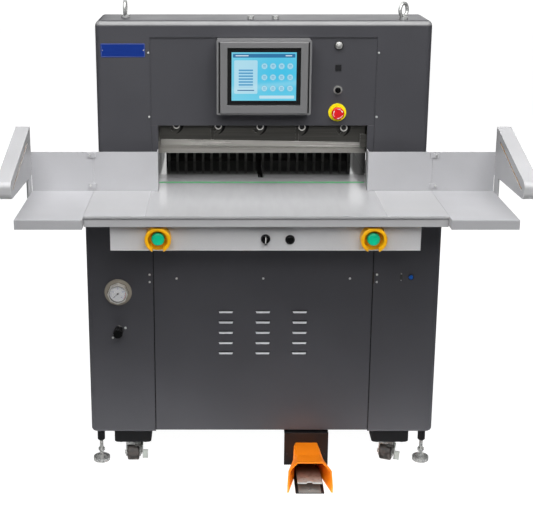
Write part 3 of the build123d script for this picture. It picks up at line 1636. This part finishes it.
def pedal_treadle():
    """Treadle plate on its barrel, with a notch in its front edge."""
    pin_y = table_front + treadle_back
    tip_y = table_front + treadle_front
    x0 = pedal_x - treadle_width * half
    x1 = pedal_x + treadle_width * half
    heel_x0 = pedal_x - treadle_heel_width * half
    heel_x1 = pedal_x + treadle_heel_width * half
    thick = treadle_thickness
    heel_z = treadle_pin_z + treadle_barrel_radius - thick
    points = [(pin_y, heel_z), (tip_y, treadle_front_z - thick), (tip_y, treadle_front_z),
              (pin_y, heel_z + thick)]
    treadle = slab_x(points, x0, x1)
    heel_y = pin_y - treadle_heel_length
    outline = [(heel_x0, pin_y + overrun), (heel_x0, heel_y), (x0, heel_y - treadle_notch_depth),
               (x0, tip_y - overrun), (x1, tip_y - overrun), (x1, heel_y - treadle_notch_depth),
               (heel_x1, heel_y), (heel_x1, pin_y + overrun)]
    plan = make_face(Polyline(*[(px, py, 0) for px, py in outline], close=True))
    treadle &= extrude(plan, amount=hood_back_top)
    treadle += rod_x(treadle_barrel_radius, pin_y, treadle_pin_z, heel_x0, heel_x1)
    treadle -= rod_x(treadle_pin_radius + treadle_pin_clearance, pin_y, treadle_pin_z,
                     x0 - overrun, x1 + overrun)
    notch = treadle_notch_width * half
    return treadle - block(pedal_x - notch, pedal_x + notch, tip_y - overrun, tip_y + treadle_notch_depth,
                           0, hood_back_top)


def caster_plate(x, y):
    """Mounting plate of one caster with its four bolt heads and the kingpin's hole."""
    low = caster_block_low - caster_plate_thickness
    x_half = caster_block_width * half - cabinet_round
    y_half = caster_block_depth * half - flange_round
    plate = block(x - caster_block_width * half, x + caster_block_width * half,
                  y - caster_block_depth * half, y + caster_block_depth * half, low, caster_block_low)
    plate = fillet(plate.edges().filter_by(Axis.Z), flange_round)
    for dx in (-x_half, x_half):
        for dy in (-y_half, y_half):
            plate += hexagon_z(foot_nut_flats * half, x + dx, y + dy, low - fork_disc_height + seat_gap, low)
    return plate - rod_z(kingpin_radius + kingpin_clearance, x, y, low - overrun, caster_block_low + overrun)


def axle_height():
    """Height of the casters' axles."""
    return wheel_lift + wheel_radius


def caster_fork():
    """Fork of a caster round its own swivel axis, with its axle, brake pin and kingpin."""
    disc_top = caster_block_low - caster_plate_thickness - seat_gap
    disc_low = disc_top - fork_disc_height
    z = axle_height()
    fork = rod_z(fork_disc_radius, 0, 0, disc_low, disc_top)
    inner = wheel_hub_width * half + fork_gap
    outer = inner + fork_leg
    leg = fork_leg_width * half
    points = [(-fork_trail - leg, z - leg), (-fork_trail + leg, z - leg),
              (leg, disc_low + fork_round), (-fork_disc_radius, disc_low + fork_round)]
    for side in (-1, 1):
        fork += on_side(slab_x(points, inner, outer), side)
        fork += on_side(rod_x(axle_nut_radius, -fork_trail, z, outer, outer + axle_nut_height), side)
    fork += rod_x(axle_radius, -fork_trail, z, -inner, inner)
    pin_end = outer + brake_gap * 2 + brake_arm_width
    fork += rod_x(brake_pin_radius, -fork_trail, disc_low - brake_drop, inner, pin_end)
    front = -fork_disc_radius - bridge_thickness
    bridge = block(-outer, outer, front, front + bridge_thickness, disc_top - bridge_height, disc_top)
    arch = block(-inner, inner, front - overrun, front + bridge_thickness + overrun,
                 disc_top - bridge_height - overrun, z + wheel_radius + bridge_clearance)
    corners = arch.edges().filter_by(Axis.Y).group_by(Axis.Z)[-1]
    fork += bridge - fillet(corners, bridge_round)
    return fork + rod_z(kingpin_radius, 0, 0, disc_top, disc_top + kingpin_length)


def caster_wheel():
    """Wheel of a caster round its own swivel axis."""
    z = axle_height()
    wheel = rod_x(wheel_radius, -fork_trail, z, -wheel_width * half, wheel_width * half)
    wheel = fillet(wheel.edges().filter_by(GeomType.CIRCLE), wheel_round)
    wheel += rod_x(wheel_hub_radius, -fork_trail, z, -wheel_hub_width * half, wheel_hub_width * half)
    return wheel - rod_x(axle_radius + axle_clearance, -fork_trail, z, -wheel_width, wheel_width)


def caster_brake():
    """Brake lever on its pin beside the fork, with a shoe over the wheel and a pad for the toe."""
    z = caster_block_low - caster_plate_thickness - seat_gap - fork_disc_height - brake_drop
    y = -fork_trail
    arm_in = wheel_hub_width * half + fork_gap + fork_leg + brake_gap
    arm_out = arm_in + brake_arm_width
    arm_low = z - brake_arm_drop
    arm = [(y - brake_eye_radius, z), (y + brake_eye_radius, z), (y - brake_arm_back, arm_low),
           (y - brake_arm_front, arm_low)]
    lever = rod_x(brake_eye_radius, y, z, arm_in, arm_out) + slab_x(arm, arm_in, arm_out)
    shoe_back = y - brake_shoe_start
    shoe_front = shoe_back - brake_shoe_depth
    shoe_low = z - brake_thickness
    lever += block(arm_in, arm_out, shoe_front, y, shoe_low, z)
    lever += block(arm_out - brake_shoe_width, arm_out, shoe_front, shoe_back, shoe_low, z)
    pad_top = z - brake_pad_drop
    pad_low = z - brake_pad_foot_drop
    pad = [(y - brake_pad_out, pad_top), (y - brake_pad_foot_out, pad_low),
           (y - brake_pad_foot_out + brake_thickness, pad_low), (y - brake_pad_out + brake_thickness, pad_top)]
    lever += slab_x(pad, arm_out - brake_pad_lap, arm_out - brake_pad_lap + brake_pad_width)
    bore = brake_pin_radius + axle_clearance
    return lever - rod_x(bore, y, z, arm_in - overrun, arm_out + overrun)


def placed_caster(shape, x, y, turn):
    """A caster's piece turned on its swivel and put under its plate."""
    return Pos(x, y, 0) * Rot(0, 0, turn) * shape


def levelling_foot(x, y):
    """Disc foot with its threaded stud and lock nut."""
    foot = rod_z(foot_disc_radius, x, y, 0, foot_disc_height)
    dome = Cone(foot_disc_radius, foot_stud_radius * 2, foot_dome_height)
    foot += Pos(x, y, foot_disc_height + foot_dome_height * half) * dome
    foot += rod_z(foot_stud_radius, x, y, foot_disc_height, foot_stud_top)
    return foot + hexagon_z(foot_nut_flats, x, y, foot_nut_z, foot_nut_z + foot_nut_height)


def hydraulic_unit():
    """Oil tank with its cap, and the motor and pump on top."""
    back = cabinet_back - tank_from_back
    front = back - tank_depth
    x0 = tank_x - tank_width * half
    x1 = tank_x + tank_width * half
    low = frame_top
    top = low + tank_height
    tank = fillet(block(x0, x1, front, back, low, top).edges().filter_by(Axis.Z), flange_round)
    y = (front + back) * half
    axis_z = top + motor_radius
    motor_x = x0 + motor_length
    motor = rod_x(motor_radius, y, axis_z, x0, motor_x)
    motor += block(x0 + tank_cap_radius, motor_x - tank_cap_radius, y - motor_foot_width * half,
                   y + motor_foot_width * half, top, axis_z)
    pump = rod_x(pump_radius, y, axis_z, motor_x, motor_x + pump_length)
    cap = rod_z(tank_cap_radius, x1 - tank_cap_radius * 2, y, top, top + tank_cap_height)
    return [tank, motor, pump, cap]


def control_box():
    """Closed electrical box on straps between the right-hand posts."""
    post_front = frame_front + frame_post
    x = cabinet_half - cabinet_sheet - overrun
    body = block(x - box_width, x, post_front + box_strap, post_front + box_strap + box_depth,
                 box_z, box_z + box_height)
    for z in (box_z, box_z + box_height - box_strap):
        body += block(x - box_strap, x - overrun, post_front, post_front + box_strap, z, z + box_strap)
    return body


def rear_covers():
    """Rear panels of housing and cabinet, screw tray, rear table walls and the cable gland."""
    sheet = housing_sheet
    x = housing_width * half - sheet - seat_gap
    y = housing_back - seat_gap
    upper = block(-x, x, y - sheet, y, housing_foot, housing_top - sheet - seat_gap)
    upper = fillet(upper.edges().filter_by(Axis.Y).group_by(Axis.Z)[-1], housing_round - sheet)
    upper -= block(-throat_half, throat_half, y - sheet - overrun, y + overrun,
                   housing_foot - overrun, throat_top)
    thin = cabinet_sheet
    x = cabinet_half - thin - seat_gap
    lower = block(-x, x, cabinet_back - thin, cabinet_back, cabinet_bottom + thin + seat_gap,
                  cabinet_top - thin - seat_gap)
    lower = fillet(lower.edges().filter_by(Axis.Y).group_by(Axis.Z)[0], flange_round - thin)
    for side in (-1, 1):
        for number in range(rear_vent_count):
            z = rear_vent_z + number * rear_vent_pitch
            vent_middle = side * rear_vent_x
            lower -= block(vent_middle - rear_vent_width * half, vent_middle + rear_vent_width * half,
                           cabinet_back - thin - overrun, cabinet_back + overrun,
                           z, z + rear_vent_height)
    rib_side = rear_rib_x + rear_rib_width
    tray_low = table_height - rear_table_thickness - seat_gap - tray_drop
    lower -= block(-rib_side, rib_side, cabinet_back - thin - overrun, cabinet_back + overrun,
                   tray_low - seat_gap, cabinet_top)
    lower -= rod_y(gland_radius * half + seat_gap, gland_x, gland_z,
                   cabinet_back - thin - overrun, cabinet_back)
    under = table_height - rear_table_thickness - seat_gap
    tray_half = tray_width * half
    tray = block(-tray_half, tray_half, cabinet_back + seat_gap, rear_y, tray_low, under)
    tray -= block(-tray_half + tray_sheet, tray_half - tray_sheet, cabinet_back - overrun,
                  rear_y - tray_sheet, tray_low + tray_sheet, under + overrun)
    wall_x = throat_half - seat_gap
    wall = block(wall_x - sheet, wall_x, table_front + rear_wall_start, rear_y,
                 table_height, table_height + rear_wall_height)
    gland = rod_y(gland_radius, gland_x, gland_z, cabinet_back, cabinet_back + gland_length)
    gland += rod_y(gland_radius * half, gland_x, gland_z, cabinet_back - thin, cabinet_back)
    gland += hexagon_y(gland_nut_flats, gland_x, gland_z, cabinet_back - thin - gland_nut_length,
                       cabinet_back - thin)
    gland -= rod_y(gland_bore, gland_x, gland_z, cabinet_back - thin - gland_nut_length - overrun,
                   cabinet_back + gland_length + overrun)
    return [upper, lower, tray, wall, mirrored(wall), gland]


def base_frame_solids():
    """The welded frame with its shelf, and the four caster plates."""
    body = base_frame()
    x_in = caster_x - caster_block_width * half
    body += block(-x_in, x_in, frame_back - shelf_depth, frame_back, frame_top - shelf_thickness, frame_top)
    plates = []
    for x in (-caster_x, caster_x):
        for y in (caster_front_y, caster_rear_y):
            hole_top = caster_block_low + kingpin_length
            body -= rod_z(kingpin_radius + kingpin_clearance, x, y, caster_block_low - overrun, hole_top)
            plates.append(caster_plate(x, y))
    return [body] + plates


nodes = {
    "base_frame": base_frame_solids(),
    "side_frames": side_frames(),
    "left_cabinet_cover": [cabinet_cover(-1)],
    "right_cabinet_cover": [cabinet_cover(1)],
    "front_panel": [front_panel()],
    "rear_covers": rear_covers(),
    "front_table": [front_table()],
    "rear_table": rear_table(),
    "side_tables": side_table(-1) + side_table(1),
    "fences": fence(-1) + fence(1),
    "guard_arms": guard_arm(-1) + guard_arm(1),
    "light_curtains": [light_curtain(-1), light_curtain(1)],
    "housing_cover": [housing_cover()],
    "upper_front_panel": upper_front_panel(),
    "lifting_eyes": [lifting_eye(-eye_x, left_eye_depth, left_eye_turn),
                     lifting_eye(eye_x, right_eye_depth, right_eye_turn)],
    "cover_screws": cover_screws(),
    "monitor_case": [monitor_case()],
    "display_panel": [display_panel()],
    "panel_fittings": switch_rings() + service_port() + [pressure_valve()],
    "button_bar": [button_bar()],
    "button_guards": [button_guard(-1), button_guard(1)],
    "pressure_gauge": [gauge_case()],
    "gauge_lens": [gauge_lens()],
    "pedal_bracket": [pedal_bracket()],
    "pedal_hood": [pedal_hood()],
    "cutting_stick": [cutting_stick()],
    "hydraulic_unit": hydraulic_unit(),
    "cylinders": [knife_cylinder(), clamp_cylinder()],
    "control_box": [control_box()],
    "gauge_motor": [gauge_motor(), gauge_belt()],
    "clamp_beam": [clamp_beam(), clamp_yoke()],
    "knife_carrier": [knife_carrier()],
    "knife_blade": [knife_blade()],
    "knife_bolts": knife_bolts(),
    "knife_pull_rod": [knife_pull_rod()],
    "backgauge": [backgauge()],
    "leadscrew": [leadscrew()],
    "left_button": [two_hand_button(-1)],
    "right_button": [two_hand_button(1)],
    "selector_knob": [selector_knob()],
    "jog_button": [jog_button()],
    "emergency_stop_head": [emergency_stop_head()],
    "key_knob": [key_knob()],
    "reset_button": [reset_button()],
    "valve_knob": [valve_knob()],
    "gauge_needle": [gauge_needle()],
    "pedal_treadle": [pedal_treadle()],
}

front_turns = {"left": left_swivel_turn, "right": right_swivel_turn}
rear_forks = []
for name, side in (("left", -1), ("right", 1)):
    turn = front_turns[name]
    place = (side * caster_x, caster_front_y, turn)
    nodes["front_" + name + "_fork"] = [placed_caster(caster_fork(), *place)]
    nodes["front_" + name + "_wheel"] = [placed_caster(caster_wheel(), *place)]
    nodes["front_" + name + "_brake"] = [placed_caster(caster_brake(), *place)]
    place = (side * caster_x, caster_rear_y, 180)
    rear_forks.append(placed_caster(caster_fork(), *place))
    nodes["rear_" + name + "_wheel"] = [placed_caster(caster_wheel(), *place)]
    nodes["front_" + name + "_foot"] = [levelling_foot(side * foot_x, foot_front_y)]
    nodes["rear_" + name + "_foot"] = [levelling_foot(side * foot_x, foot_rear_y)]
nodes["rear_forks"] = rear_forks

os.makedirs("parts", exist_ok=True)
for name, solids in nodes.items():
    shape = solids[0] if len(solids) == 1 else Compound(children=solids)
    export_step(shape, os.path.join("parts", name + ".step"))
print(len(nodes), "nodes written")
